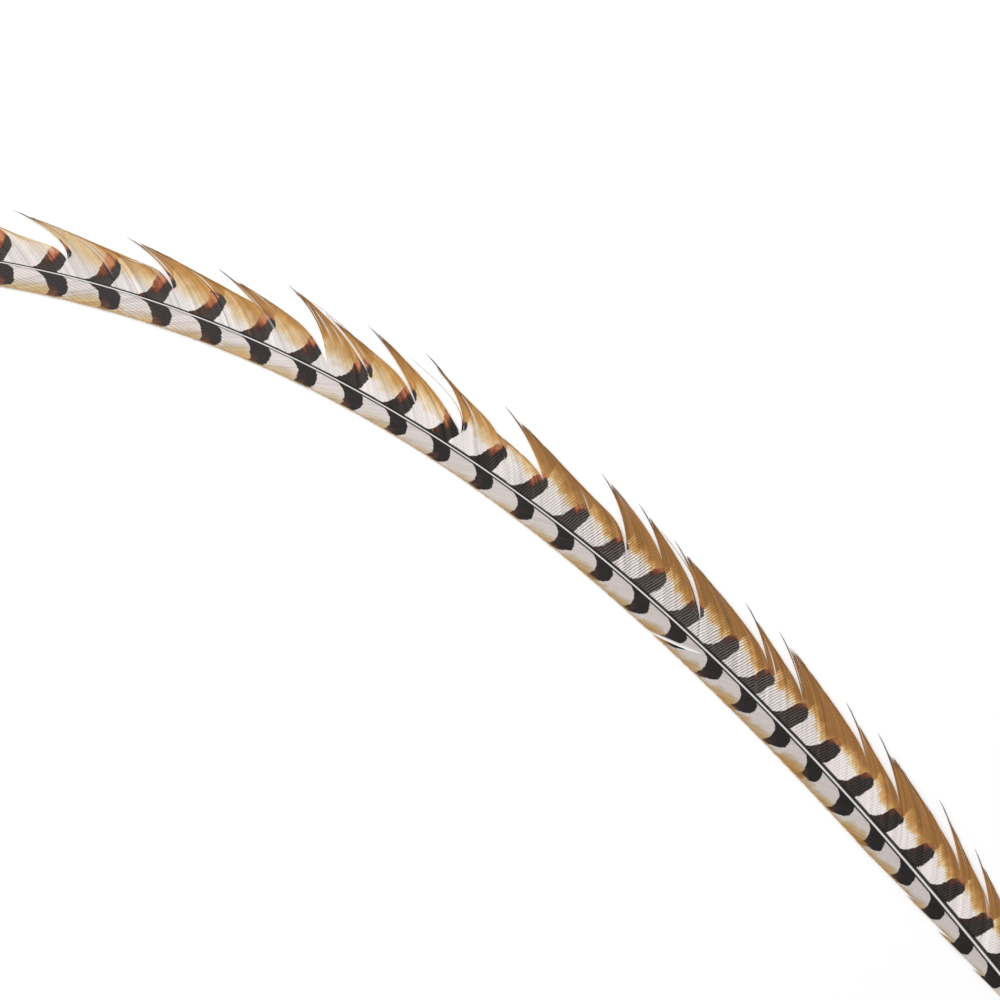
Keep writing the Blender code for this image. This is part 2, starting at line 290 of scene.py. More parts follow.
def barbCourses(vane, reachAt, locks, roots, share, noise):
    # each barb is a cubic curve: it leaves the shaft at one angle, sweeps towards the tip and arrives
    # nearly along the shaft; past the foot of a split its end moves to where its lock draws it
    lock = locks[np.clip(np.searchsorted(locks[:, 0], roots, side="right") - 1, 0, None)]
    first, last, ownReach, ownLean, slant, gather, grown, lift = lock.T
    opened = np.clip((roots + barbs["pastTip"]) / (barbs["closesOver"] + barbs["pastTip"]), 0.0, 1.0)
    closing = 1.0 - (1.0 - opened) ** 2  # both vanes draw in to a blunt point at the shaft's tip
    reach = np.where(ownReach > 0.0, ownReach, reachAt(roots) * grown) * closing
    usualLean = vane["lean"] + vane["tipLean"] * np.exp(-roots / barbs["tipLeanOver"])
    lean = np.where(ownLean > 0.0, ownLean, usualLean)
    across = np.clip((roots - first) / (last - first), 0.0, 1.0)
    along = lean * reach * (1.0 - np.where(slant > 0.0, barbs["leanLost"], 0.0) * across)
    out = reach * (1.0 - slant * across)
    along += (lean * reach + barbs["gathersAlong"] * (roots - first) - along) * gather
    out += (reach * (1.0 - barbs["gathersOut"] * across) - out) * gather
    uneven = 1.0 + barbs["uneven"] * noise.standard_normal(len(roots))
    behind = np.maximum(roots - first, 0.0)
    hair = np.exp(-(((roots - first) / barbs["hairOver"]) ** 2)) * np.where(slant > 0.0, 1.0, 0.0)
    short = barbs["short"] * np.exp(-behind / barbs["shortOver"])
    short *= 1.0 - np.exp(-behind / barbs["shortFrom"])
    short = np.where(slant > 0.0, short * np.clip(reach / barbs["shortReach"], 0.0, 1.0) ** 2, 0.0)
    along, out = along * uneven, out * uneven**0.5
    share = share[None, :] * (1.0 - short[:, None])  # a short barb stops early on the same course
    apart = smoothStep(vane["apartFrom"], 1.0, share)
    common = barbs["commonReach"] * reach
    leaving, arriving = np.radians(vane["angles"])
    rest = 1 - share
    weights = np.array([rest**3, 3 * rest**2 * share, 3 * rest * share**2, share**3])

    def curve(endAlong, endOut):
        start, arrival = (handle * common[:, None] for handle in vane["handles"])
        toTip = weights[1] * start * math.cos(leaving)
        toTip = toTip + weights[2] * (endAlong - arrival * math.cos(arriving)) + weights[3] * endAlong
        outward = weights[1] * start * math.sin(leaving)
        outward = outward + weights[2] * (endOut - arrival * math.sin(arriving)) + weights[3] * endOut
        return toTip, outward

    commonAlong, commonOut = (lean * common)[:, None], common[:, None]
    toTip, outward = curve(
        commonAlong + (along[:, None] - commonAlong) * apart,
        commonOut + (out[:, None] - commonOut) * apart,
    )
    wholeToTip, wholeOutward = curve(commonAlong, commonOut)
    half = 0.5 * shaftWidth(roots)[:, None]
    return {
        "toTip": toTip, "outward": outward + half,
        "wholeToTip": wholeToTip, "wholeOutward": wholeOutward + half,
        "reach": reach, "lift": lift, "apart": apart, "hair": hair,
    }


def openSlits(vane, roots, share, noise):
    # barbs on the two sides of a slit draw apart, most at its middle, and less the farther they are; barbs
    # beside a narrow one also get a painted highlight, near white, for the bright floor seen through it
    low, high = barNumber(roots[0]), barNumber(roots[-1])
    count = int((high - low) / vane["looseEvery"])
    starts = noise.uniform(*barbs["looseStart"], count)
    loose = np.stack((
        noise.uniform(low, high, count), starts, starts + noise.uniform(*barbs["looseRun"], count),
        noise.uniform(*barbs["looseOpening"], count), np.full(count, 0.5)), -1)
    moved, pale = np.zeros((2, len(roots), len(share)))
    for number, start, end, opening, tipSide, *own in [*vane["slits"], *loose.tolist()]:
        fading = own[0] if own else barbs["slitFades"]
        away = roots - barAt(number)
        opened = np.sin(math.pi * np.clip((share - start) / (end - start), 0.0, 1.0)) ** barbs["slitShape"]
        pushed = opening * np.where(away < 0.0, -tipSide, 1.0 - tipSide) * np.exp(-np.abs(away) / fading)
        moved += pushed[:, None] * opened[None, :]
        # painted highlight: the barbs right beside a narrow slit are coloured near white, most at the
        # slit's middle
        strength = min(opening / barbs["paintedHighlightFull"], 1.0) * (opening < barbs["paintedHighlightUpTo"])
        beside = np.exp(-((away / barbs["paintedHighlightOver"]) ** 2)) * strength
        pale = np.maximum(pale, beside[:, None] * opened[None, :])
    return moved, pale


def squareTo(x, y):
    # unit steps square to each course, in plan
    tx, ty = np.gradient(x, axis=1), np.gradient(y, axis=1)
    length = np.maximum(np.hypot(tx, ty), 1e-9)
    return -ty / length, tx / length


def makeVane(name, vane, reachAt, locks, low, high, seed, material):
    # one closed thin strip per barb, four-cornered across: two edges, a ridge above and a keel below
    noise = np.random.default_rng(seed)
    count = int(round((high - low) / barbs["spacing"]))
    roots = low + (np.arange(count) + 0.5) * (high - low) / count
    share = np.linspace(0.0, 1.0, barbs["stations"])
    course = barbCourses(vane, reachAt, locks, roots, share, noise)
    middle, pull, clump = makeClumps(count, vane["pull"], noise)
    drawn = (middle - np.arange(count)) * (high - low) / count * pull
    gathering = smoothStep(barbs["clumpFrom"], 1.0, share)[None, :]
    combed = roots[:, None] - course["toTip"]
    moved, pale = openSlits(vane, roots, share, noise)
    fromTip = combed + drawn[:, None] * gathering + moved
    outward = course["outward"]
    # half the width of a strip: from the way to the next barb, square to its course, while all lie combed
    x, y = planAt(combed, vane["side"] * outward)
    sx, sy = squareTo(x, y)
    gap = np.abs(np.diff(x, axis=0) * sx[1:] + np.diff(y, axis=0) * sy[1:])
    gap = np.vstack((gap[:1], gap))
    half = np.clip(0.5 * barbs["overlap"] * gap, 0.5 * barbs["thinnest"], 0.5 * barbs["widest"])
    ending = np.sqrt(np.clip((1.0 - share) / barbs["endTaper"], 0.0, 1.0))[None, :]
    half *= barbs["endWidth"] + (1.0 - barbs["endWidth"]) * ending
    slim = barbs["slimmer"] * course["hair"] * (1.0 - smoothStep(*barbs["slimReach"], course["reach"]))
    half *= 1.0 - slim[:, None] * smoothStep(0.4, 0.8, share)[None, :]
    x, y = planAt(fromTip, vane["side"] * outward)
    sx, sy = squareTo(x, y)
    depth = shaftDepth(roots)[:, None]
    # height: down from the shaft's middle by the square of the way that is left, over a low sine crest
    q = np.clip((outward - 0.5 * shaftWidth(roots)[:, None]) / course["reach"][:, None], 0.0, 1.0)
    drop = 0.5 * depth - barbs["halfDepth"] - barbs["clearance"]
    rise = barbs["clearance"] + drop * (1.0 - q) ** 2
    rise += vane["crest"] * np.sin(math.pi * q) ** barbs["crestShape"]
    rise += course["lift"][:, None] * course["apart"]
    clumpLift = noise.uniform(0.0, barbs["clumpLift"], clump.max() + 1)[clump]
    rise += clumpLift[:, None] * gathering
    z = rise + barbs["halfDepth"] + noise.uniform(0.0, barbs["barbLift"], count)[:, None]
    ridge = np.maximum(barbs["ridge"] * half, barbs["leastRidge"])
    keel = barbs["rootDepth"] + (barbs["endDepth"] - barbs["rootDepth"]) * np.sqrt(share)[None, :]
    corners = acrossStrip(x, y, z, (sx, sy), half, barbs["tilt"] * half, ridge, keel)
    wholeFromTip = roots[:, None] - course["wholeToTip"]
    place = np.stack((barNumber(wholeFromTip), 1000.0 * course["wholeOutward"], q), -1)
    jag = noise.uniform(-1.0, 1.0, count)
    over = barbs["toneOver"]
    slow = np.convolve(noise.standard_normal(count + over - 1), np.ones(over) / over**0.5, "valid")
    tone = barbs["toneOwn"] * noise.uniform(-1.0, 1.0, count) + barbs["toneSlow"] * slow
    # painted shade: single barbs set far darker, as thin lines of shadow between barbs
    for dark in vane["paintedShadeAt"]:
        tone[np.abs(roots - barAt(dark)) < 0.7 * barbs["spacing"]] = barbs["paintedShadeTone"]
    own = np.stack(np.broadcast_arrays(jag[:, None], tone[:, None], share[None, :]), -1)
    # its third part is the painted highlight beside narrow slits
    fine = np.stack((1000.0 * combed, course["hair"][:, None] + 0.0 * combed, pale), -1)
    return stripsToPiece(name, corners, {"vanePlace": place, "barbOwn": own, "barbFine": fine}, material)


bakeMap = {
    "columns": 4,
    "left": 0.01, "low": 0.06,  # where a strip starts in its cell
    "length": 0.98, "height": 0.88,  # how much of the cell it fills
    "cap": (0.0015, 0.8), "capAt": (-0.002, 0.0003),  # the squares of its closed ends, before and after it
}


def layOut(strips, stations, sides):
    # bake map: strips lie in columns, one above another, along U by station and along V by side
    strip = np.arange(strips)[:, None, None]
    columns = bakeMap["columns"]
    rows = math.ceil(strips / columns)
    left = (strip % columns + bakeMap["left"]) / columns
    low = (strip // columns + bakeMap["low"]) / rows
    length = bakeMap["length"] / columns
    along = left + length * np.arange(stations)[None, :, None] / (stations - 1)
    up = low + bakeMap["height"] * np.arange(sides + 1)[None, None, :] / (sides * rows)
    along, up = np.broadcast_arrays(along, up)
    grid = np.stack((along, up), -1)
    here, there = grid[:, :-1], grid[:, 1:]
    walls = np.stack((here[:, :, :-1], there[:, :, :-1], there[:, :, 1:], here[:, :, 1:]), -2)
    square = np.array(((0.0, 0.0), (1.0, 0.0), (1.0, 1.0), (0.0, 1.0)))
    size = np.array((bakeMap["cap"][0], bakeMap["cap"][1] / rows))
    start = np.concatenate((left + bakeMap["capAt"][0], low), -1) + square[None] * size
    end = np.concatenate((left + length + bakeMap["capAt"][1], low), -1) + square[None] * size
    return np.concatenate((walls.reshape(-1, 2), start.reshape(-1, 2), end.reshape(-1, 2)))


def acrossStrip(x, y, z, sideways, half, tilt, above, below):
    # the four corners of a strip at each station: two edges, a ridge above and a keel below
    sx, sy = sideways
    return np.stack((
        np.stack((x - sx * half, y - sy * half, z - tilt), -1),
        np.stack((x, y, z + above), -1),
        np.stack((x + sx * half, y + sy * half, z + tilt), -1),
        np.stack((x, y, z - below), -1),
    ), axis=2)


def setVectors(mesh, key, vectors):
    attribute = mesh.attributes.new(key, "FLOAT_VECTOR", "POINT")
    attribute.data.foreach_set("vector", vectors.astype(np.float32).ravel())


def makePiece(mesh, material):
    mesh.materials.append(material)
    piece = bpy.data.objects.new(mesh.name, mesh)
    bpy.context.collection.objects.link(piece)
    return piece


def stripsToPiece(name, corners, vectors, material):
    # corners[strip, station, corner] become quads along the strips, closed by a quad at both ends
    strips, stations, sides, _ = corners.shape
    index = np.arange(strips * stations * sides).reshape(strips, stations, sides)
    here, there = index[:, :-1], index[:, 1:]
    around = np.roll(here, -1, axis=2), np.roll(there, -1, axis=2)
    walls = np.stack((here, there, around[1], around[0]), -1).reshape(-1, 4)
    faces = np.concatenate((walls, index[:, 0, ::-1], index[:, -1]))
    mesh = bpy.data.meshes.new(name)
    mesh.vertices.add(index.size)
    mesh.vertices.foreach_set("co", corners.astype(np.float32).ravel())
    mesh.loops.add(faces.size)
    mesh.loops.foreach_set("vertex_index", faces.astype(np.int32).ravel())
    mesh.polygons.add(len(faces))
    mesh.polygons.foreach_set("loop_start", np.arange(0, faces.size, 4, dtype=np.int32))
    mesh.update(calc_edges=True)
    for key, value in vectors.items():
        setVectors(mesh, key, np.repeat(value[:, :, None, :], sides, axis=2))
    laidOut = mesh.uv_layers.new(name="OFBake")
    laidOut.uv.foreach_set("vector", layOut(strips, stations, sides).astype(np.float32).ravel())
    mesh.shade_smooth()
    mesh.set_sharp_from_angle(angle=math.radians(75))
    return makePiece(mesh, material)


def toLinear(code):
    # an sRGB hex colour as linear red, green, blue and alpha
    channels = [int(code[i:i + 2], 16) / 255.0 for i in (1, 3, 5)]
    return (*[c / 12.92 if c <= 0.04045 else ((c + 0.055) / 1.055) ** 2.4 for c in channels], 1.0)


usualSettings = {"Mix": {"data_type": "RGBA"}}
sShaped = {"interpolation_type": "SMOOTHSTEP"}


def addNode(tree, kind, inputs=(), operation=None, stops=(), **settings):
    # adds a node; inputs gives, in order or by socket name or number, a value, a hex colour or what feeds
    # it, and stops the places and colours of a ramp
    node = tree.nodes.new("ShaderNode" + kind)
    if operation:
        node.operation = operation
    for at, _ in stops[1:-1]:
        node.color_ramp.elements.new(at)
    for element, (at, colour) in zip(node.color_ramp.elements if stops else (), stops):
        element.position = at
        element.color = toLinear(colour)
    for key, value in {**usualSettings.get(kind, {}), **settings}.items():
        setattr(node, key, value)
    for key, value in inputs.items() if isinstance(inputs, dict) else enumerate(inputs):
        if isinstance(value, bpy.types.Node):
            value = next(s for s in value.outputs if s.enabled)
        if isinstance(value, bpy.types.NodeSocket):
            tree.links.new(value, node.inputs[key])
        else:
            node.inputs[key].default_value = toLinear(value) if isinstance(value, str) else value
    return node


def newMaterial(name):
    # an empty material, and what adds nodes to it
    material = bpy.data.materials.new(name)
    material.use_nodes = True
    material.node_tree.nodes.clear()
    return material, partial(addNode, material.node_tree)


widePattern = {
    # mm from a bar's quill side, minus towards the tip: far out, more at the shaft, and fading over
    "tipEdge": (-7.9, -10.5, 4.4),
    "quillEdge": (2.9, -3.9, 5.0),
    "narrowsFrom": 13.0, "narrows": 0.18,  # mm outward, and mm lost per square mm
    "roundsFrom": 12.0, "rounds": 0.07,  # the same at the tip side, on the bars after the eighth
    "outerEnd": (20.8, 17.0),  # mm outward, on bars 0 and 1, and after them
    "chestnutWidth": (6.4, 4.2),  # mm, on bar 0 and on bar 14
    "chestnutFrom": (4.4, 10.4),  # mm outward
    "chestnutShare": 1.0,
    "warmest": 1.0,
    "warmStreak": 0.30,
    "rimmed": 1.0,
    "goldFrom": (9.2, 15.8),  # mm outward behind bars before the seventh and after the ninth
    "goldLater": (3.0, 50.0),  # mm further out and mm wider spread at bar -1
    "goldDips": 7.5,  # mm per bar that it comes nearer to the shaft, up to the next bar
    "goldWander": 9.0,
    "goldSpread": (26.0, 9.5),  # mm from white to the deepest gold
    "comb": 2.2,  # mm that the gold reaches in along each dark line of the ripple
    "ripple": 0.66,
    "rippleAcross": (1.0, -0.28),  # its phase grows by this along the shaft and by that outward
    "rippleGrows": (8.2, 12.2, 0.20, 1.0),  # from one bar to another, from this share to that
    "lighterEarly": 0.0,
    "streak": (0.11, 0.09),  # how much barbs differ, on bar 0 and on bar 9
    "dims": -0.16,  # of the light lost towards the quill
    "shaftLine": (0.028, 0.010),  # share of a barb that is dark beside the shaft
    "shaftLineEarly": 1.0,  # how dark that is before the second bar
    "quillEdgeEarly": 0.0, "outerEndEarly": 0.0,  # mm and bars by which the bars lie further back, early on
    "white": "#EFE7E3", "buff": "#E2C79C", "rim": "#775230", "black": "#201A18", "blackLine": "#6E655F",
}

narrowPattern = {
    "tipEdge": (-4.7, -12.5, 2.47),
    "quillEdge": (6.4, -6.4, 2.2),
    "narrowsFrom": 7.0, "narrows": 0.20,
    "roundsFrom": 20.0, "rounds": 0.0,
    "outerEnd": (13.0, 12.6),
    "chestnutWidth": (6.0, 4.4),
    "chestnutFrom": (6.8, 8.6),
    "chestnutShare": 0.85,
    "warmest": 0.62,
    "warmStreak": 0.08,
    "rimmed": 0.0,
    "goldFrom": (9.6, 11.6),
    "goldLater": (0.0, 0.0),
    "goldWander": 4.0,
    "goldDips": 6.0,
    "goldSpread": (19.0, 12.5),
    "comb": 0.0,
    "ripple": 0.26,
    "rippleAcross": (-0.21, 1.0),
    "rippleGrows": (1.5, 5.0, 1.0, 0.2),
    "lighterEarly": 0.08,
    "streak": (0.10, 0.04),
    "dims": 0.10,
    "shaftLine": (0.075, 0.03),
    "shaftLineEarly": 0.15,
    "quillEdgeEarly": 1.6, "outerEndEarly": 0.10,
    "white": "#DDD3CF", "buff": "#C8B18B", "rim": "#BC9259", "black": "#1D1818", "blackLine": "#3A3331",
}

# what both vanes' markings share: lengths are mm, and four numbers run from one bar to another and from
# one strength to another
markings = {
    "meanBar": 31.0,
    "wander": 6.25,  # from hump to hump of the slow wander of every outline
    "wanderBars": 0.09, "jagBars": 0.008,  # how far that and a barb's own chance shift a bar, in bars
    "before": 0.72,  # a bar's stretch starts this share of a pitch before its quill side
    "early": (4.0, 8.0, 1.0, 0.0),
    "edge": 0.3, "outerEdge": 0.5,  # half the width over which an outline blurs
    "plainTip": -8.5,  # no bar before this one
    "cools": (9.5, 13.0, 1.0, 0.60),  # how warm the corner is
    "rimFades": (2.0, 11.0, 1.0, 0.0),
    "ripple": 1.6,  # from crest to crest
    "rippleFades": (15.0, 19.0, 1.0, 0.3),
    "turnsDowny": (24.2, 27.4, 0.0, 0.88),
    "gold": ((0.48, "#C29050"), (0.80, "#A57641"), (1.0, "#986A39")),  # outward from the buff
    "warm": ((0.0, "#3A2C28"), (0.28, "#5A382B"), (0.55, "#8E4F38"), (0.92, "#CB8558")),
    # the near white here is the colour of the painted highlight beside narrow slits
    "haze": "#8C5034", "down": "#DED6CD", "paintedHighlight": "#F6F1EC", "hair": "#5F5852",
}


def readPlaces(add, look):
    # what a spot knows: its bar number with a fraction, mm outward, share of its barb, chances that are
    # its barb's own, and x, the mm that it lies behind its bar's quill side
    at = SimpleNamespace()
    place = add("Attribute", attribute_name="vanePlace")
    own = add("Attribute", attribute_name="barbOwn")
    fine = add("Attribute", attribute_name="barbFine")
    at.bar, at.outMm, at.reachShare = add("SeparateXYZ", (place.outputs["Vector"],)).outputs
    at.jag, at.tone, at.share = add("SeparateXYZ", (own.outputs["Vector"],)).outputs
    # the last of these is the painted highlight beside narrow slits
    at.fineMm, at.hair, at.pale = add("SeparateXYZ", (fine.outputs["Vector"],)).outputs
    at.early = add("MapRange", (at.bar, *markings["early"]))
    at.along14 = add("MapRange", (at.bar, 0.0, 14.0))
    barMm = add("Math", (at.bar, markings["meanBar"]), "MULTIPLY")
    spot = add("CombineXYZ", (barMm, at.outMm))
    waves = {"Vector": spot, "Scale": 1.0 / markings["wander"], "Detail": 3.0}
    wander = add("TexNoise", waves, noise_dimensions="2D")
    at.wander = add("Math", (wander.outputs[0], 0.5), "SUBTRACT")
    atEnds = add("MapRange", (at.outMm, 7.6, 11.6, 0.0, -look["outerEndEarly"]), **sShaped)
    at.shifted = at.bar
    for amount, factor in (
        (at.jag, markings["jagBars"]), (at.wander, markings["wanderBars"]), (atEnds, at.early),
    ):
        at.shifted = add("Math", (amount, factor, at.shifted), "MULTIPLY_ADD")
    ahead = add("Math", (at.shifted, markings["before"]), "ADD")
    at.number = add("Math", (ahead,), "FLOOR")
    past = add("Math", (ahead, at.number), "SUBTRACT")
    past = add("Math", (past, markings["before"]), "SUBTRACT")
    shrinking = (at.bar, -2000.0 * bars["shrink"], 1000.0 * bars["pitch"])
    pitch = add("Math", shrinking, "MULTIPLY_ADD")
    at.x = add("Math", (past, pitch), "MULTIPLY")
    chance = add("TexWhiteNoise", {"W": at.number}, noise_dimensions="1D")
    at.chance = add("Math", (chance.outputs["Value"], 0.5), "SUBTRACT")
    return at


def outlineBar(add, look, at):
    # a bar's edge: a constant plus another times e to the minus outward distance over a length
    edges = []
    for far, near, fading in (look["tipEdge"], look["quillEdge"]):
        power = add("Math", (at.outMm, -1.0 / fading), "MULTIPLY")
        power = add("Math", (power,), "EXPONENT")
        edges.append(add("Math", (power, near, far), "MULTIPLY_ADD"))
    # and it curves in by the square of the way past a point further out
    bends = []
    for start in (look["roundsFrom"], look["narrowsFrom"]):
        beyond = add("Math", (at.outMm, start), "SUBTRACT")
        beyond = add("Math", (beyond, 0.0), "MAXIMUM")
        bends.append(add("Math", (beyond, 2.0), "POWER"))
    rounds = add("MapRange", (at.early, 0.0, 1.0, look["rounds"], 0.0))
    rounding = add("Math", (bends[0], rounds), "MULTIPLY")
    tipEdge = add("Math", (edges[0], rounding), "ADD")
    quillEdge = edges[1]
    for amount, factor in ((bends[1], -look["narrows"]), (at.early, look["quillEdgeEarly"])):
        quillEdge = add("Math", (amount, factor, quillEdge), "MULTIPLY_ADD")
    outerEnd = add("MapRange", (at.bar, 0.8, 2.2, *look["outerEnd"]))
    for amount, factor in ((at.chance, 2.5), (at.jag, 0.5)):
        outerEnd = add("Math", (amount, factor, outerEnd), "MULTIPLY_ADD")
    # how far a place is inside each edge of its bar, made 0 outside and 1 inside
    at.insideTip = add("Math", (at.x, tipEdge), "SUBTRACT")
    insideQuill = add("Math", (quillEdge, at.x), "SUBTRACT")
    at.insideOut = add("Math", (outerEnd, at.outMm), "SUBTRACT")
    along, outer = markings["edge"], markings["outerEdge"]
    isTip, isQuill, isOut = [
        add("MapRange", (inside, -blur, blur), **sShaped)
        for inside, blur in ((at.insideTip, along), (insideQuill, along), (at.insideOut, outer))]
    at.isColumn = add("Math", (isTip, isQuill), "MULTIPLY")
    isBar = add("Math", (at.isColumn, isOut), "MULTIPLY")
    pastTip = add("Math", (at.number, markings["plainTip"]), "GREATER_THAN")
    at.isBar = add("Math", (isBar, pastTip), "MULTIPLY")


def rippleAcross(add, look, at):
    # a sine across the barbs, sharpened, which grows and fades from bar to bar
    crests = add("Math", (at.fineMm, look["rippleAcross"][0]), "MULTIPLY")
    slanted = add("Math", (at.outMm, look["rippleAcross"][1], crests), "MULTIPLY_ADD")
    slanted = add("Math", (at.wander, 1.5, slanted), "MULTIPLY_ADD")
    wave = add("Math", (slanted, 2.0 * math.pi / markings["ripple"]), "MULTIPLY")
    wave = add("Math", (wave,), "SINE")
    wave = add("MapRange", (wave, -0.7, 0.7), **sShaped)
    for strength in (look["rippleGrows"], markings["rippleFades"]):
        strength = add("MapRange", (at.bar, *strength), **sShaped)
        wave = add("Math", (wave, strength), "MULTIPLY")
    return wave


def colourBar(add, look, at, wave):
    # warm corner at the bar's tip side: warmer outward, in streaks, and gone past its width
    width = add("MapRange", (at.along14, 0.0, 1.0, *look["chestnutWidth"]))
    width = add("Math", (at.wander, 6.0, width), "MULTIPLY_ADD")
    start = add("MapRange", (at.along14, 0.0, 1.0, *look["chestnutFrom"]))
    for amount, factor in ((at.wander, 9.0), (at.tone, 1.3)):
        start = add("Math", (amount, factor, start), "MULTIPLY_ADD")
    pastWidth = add("Math", (at.insideTip, width), "SUBTRACT")
    inWidth = add("MapRange", (pastWidth, -1.4, 1.4, 1.0, 0.0), **sShaped)
    pastStart = add("Math", (at.outMm, start), "SUBTRACT")
    warmth = add("MapRange", (pastStart, -1.5, 9.5, 0.0, look["warmest"]))
    warmth = add("Math", (at.tone, look["warmStreak"], warmth), "MULTIPLY_ADD")
    warmth = add("Math", (warmth, inWidth), "MULTIPLY")
    cooler = add("MapRange", (at.bar, *markings["cools"]))
    warmth = add("Math", (warmth, cooler), "MULTIPLY")
    # its outer end is rimmed with black, more on some bars than on others
    rimmed = add("MapRange", (at.insideOut, 0.6, 1.9, -0.9, 0.0))
    for strength in ((at.chance, -0.25, 0.2, 0.1, look["rimmed"]), (at.bar, *markings["rimFades"])):
        strength = add("MapRange", strength)
        rimmed = add("Math", (rimmed, strength), "MULTIPLY")
    warmth = add("Math", (warmth, rimmed), "ADD", use_clamp=True)
    warm = add("ValToRGB", (warmth,), stops=markings["warm"])
    isWarm = add("MapRange", (warmth, 0.0, 0.22, 0.0, look["chestnutShare"]))
    # black, lighter along the ripple
    lighter = add("Math", (at.early, 0.24, wave), "MULTIPLY_ADD")
    lighter = add("Math", (at.tone, 0.08, lighter), "MULTIPLY_ADD", use_clamp=True)
    dark = add("Mix", {0: lighter, 6: look["black"], 7: look["blackLine"]})
    return add("Mix", {0: isWarm, 6: dark, 7: warm})


def colourGround(add, look, at, wave):
    # white by the shaft, buff and gold outward
    behind = add("Math", (at.shifted,), "FRACT")
    behind = add("Math", (behind, 0.65), "MINIMUM")
    later = add("MapRange", (at.bar, -1.0, 1.4, 1.0, 0.0))
    goldFrom = add("MapRange", (at.bar, 6.2, 8.6, *look["goldFrom"]))
    for amount, factor in (
        (later, look["goldLater"][0]), (at.chance, 2.4), (behind, -look["goldDips"]),
        (at.wander, look["goldWander"]), (at.jag, 0.8), (wave, -look["comb"]),
    ):
        goldFrom = add("Math", (amount, factor, goldFrom), "MULTIPLY_ADD")
    golden = add("Math", (at.outMm, goldFrom), "SUBTRACT")
    spread = add("MapRange", (at.bar, 6.5, 11.5, *look["goldSpread"]))
    spread = add("Math", (later, look["goldLater"][1], spread), "MULTIPLY_ADD")
    golden = add("Math", (golden, spread), "DIVIDE", use_clamp=True)
    stops = ((0.0, look["white"]), (0.20, look["buff"]), *markings["gold"])
    ground = add("ValToRGB", (golden,), stops=stops)
    # a reddish haze lies on the gold just outside a bar
    haze = add("MapRange", (at.insideOut, -7.5, -1.0, 0.0, 0.85), **sShaped)
    haze = add("Math", (haze, at.isColumn), "MULTIPLY")
    haze = add("Math", (haze, golden), "MULTIPLY", use_clamp=True)
    ground = add("Mix", {0: haze, 6: ground, 7: markings["haze"]})
    # light and dark: the ripple, which the gold hides, barb beside barb, and a slow change along the shaft
    hidden = add("MapRange", (golden, 0.1, 0.5, 1.0, 0.25))
    ripple = add("Math", (wave, hidden), "MULTIPLY")
    streak = add("MapRange", (at.bar, 0.0, 9.0, *look["streak"]))
    streak = add("Math", (golden, 0.10, streak), "MULTIPLY_ADD")
    shade = 1.0
    for amount, factor in (
        (at.early, look["lighterEarly"]), (ripple, -look["ripple"]), (at.tone, streak),
        (at.along14, -look["dims"]),
    ):
        shade = add("Math", (amount, factor, shade), "MULTIPLY_ADD")
    return add("Mix", {0: 1.0, 6: ground, 7: shade}, blend_type="MULTIPLY")


def vaneMaterial(name, look):
    # feather keratin, combed: barbs side by side give a silky sheen, and pigment gives bars and gold
    material, add = newMaterial(name)
    at = readPlaces(add, look)
    outlineBar(add, look, at)
    wave = rippleAcross(add, look, at)
    bar = colourBar(add, look, at, wave)
    ground = colourGround(add, look, at, wave)
    # dark line beside the shaft, brown rim and grey-brown hair ends
    near, nearer = look["shaftLine"]
    line = add("MapRange", (at.share, nearer, near, 1.0, 0.0), **sShaped)
    lineGrows = add("MapRange", (at.bar, 2.0, 6.0, look["shaftLineEarly"], 1.0))
    line = add("Math", (line, lineGrows), "MULTIPLY")
    rim = add("MapRange", (at.share, 0.86, 0.97, 0.0, 0.9), **sShaped)
    farOut = add("MapRange", (at.reachShare, 0.5, 0.9))
    rim = add("Math", (rim, farOut), "MULTIPLY")
    isHair = add("MapRange", (at.share, 0.72, 0.86), **sShaped)
    isHair = add("Math", (isHair, at.hair), "MULTIPLY")
    # towards the quill the vane turns plain and downy, and barbs beside a narrow slit take a painted
    # highlight, near white, for the bright floor seen through the slit
    downy = add("MapRange", (at.bar, *markings["turnsDowny"]), **sShaped)
    colour = ground
    for share, over in (
        (at.isBar, bar), (line, look["black"]), (rim, look["rim"]), (downy, markings["down"]),
        (at.pale, markings["paintedHighlight"]), (isHair, markings["hair"]),
    ):
        colour = add("Mix", {0: share, 6: colour, 7: over})
    bump = add("Bump", {"Height": wave, "Strength": 0.25, "Distance": 0.0002})
    shader = add("BsdfPrincipled", {
        "Base Color": colour, "Normal": bump, "Roughness": 0.58, "Sheen Weight": 0.04,
        "Sheen Roughness": 0.4, "Specular IOR Level": 0.22, "IOR": 1.54,
    })
    add("OutputMaterial", {"Surface": shader})
    return material


down = {
    "from": 0.016, "to": 0.078,  # metres from the quill's end
    "tufts": 74,  # on each side
    "strands": 9,  # in each tuft
    "length": (0.012, 0.021),
    "shortest": 0.62,  # share of a tuft's length that its strands keep at least
    "endLength": 0.55,  # share that is left of it towards the quill's end
    "width": 0.00017, "endWidth": 0.4, "thickness": 0.6,  # the last two are shares
    "stations": 15,
    "angles": (76.0, 46.0),  # degrees from the shaft, at the quill's end and at the vane
    "strays": 9.0, "fan": 13.0,  # degrees that tufts differ, and strands within a tuft
    "droop": (0.3, 0.8),  # radians that a strand turns towards the tip
    "curl": 0.0011, "turns": (2.2, 3.6),  # small waves along a strand
    "endHeight": (0.0006, 0.0030),
    "seed": 61,
    "colour": "#F2EDE6",
}


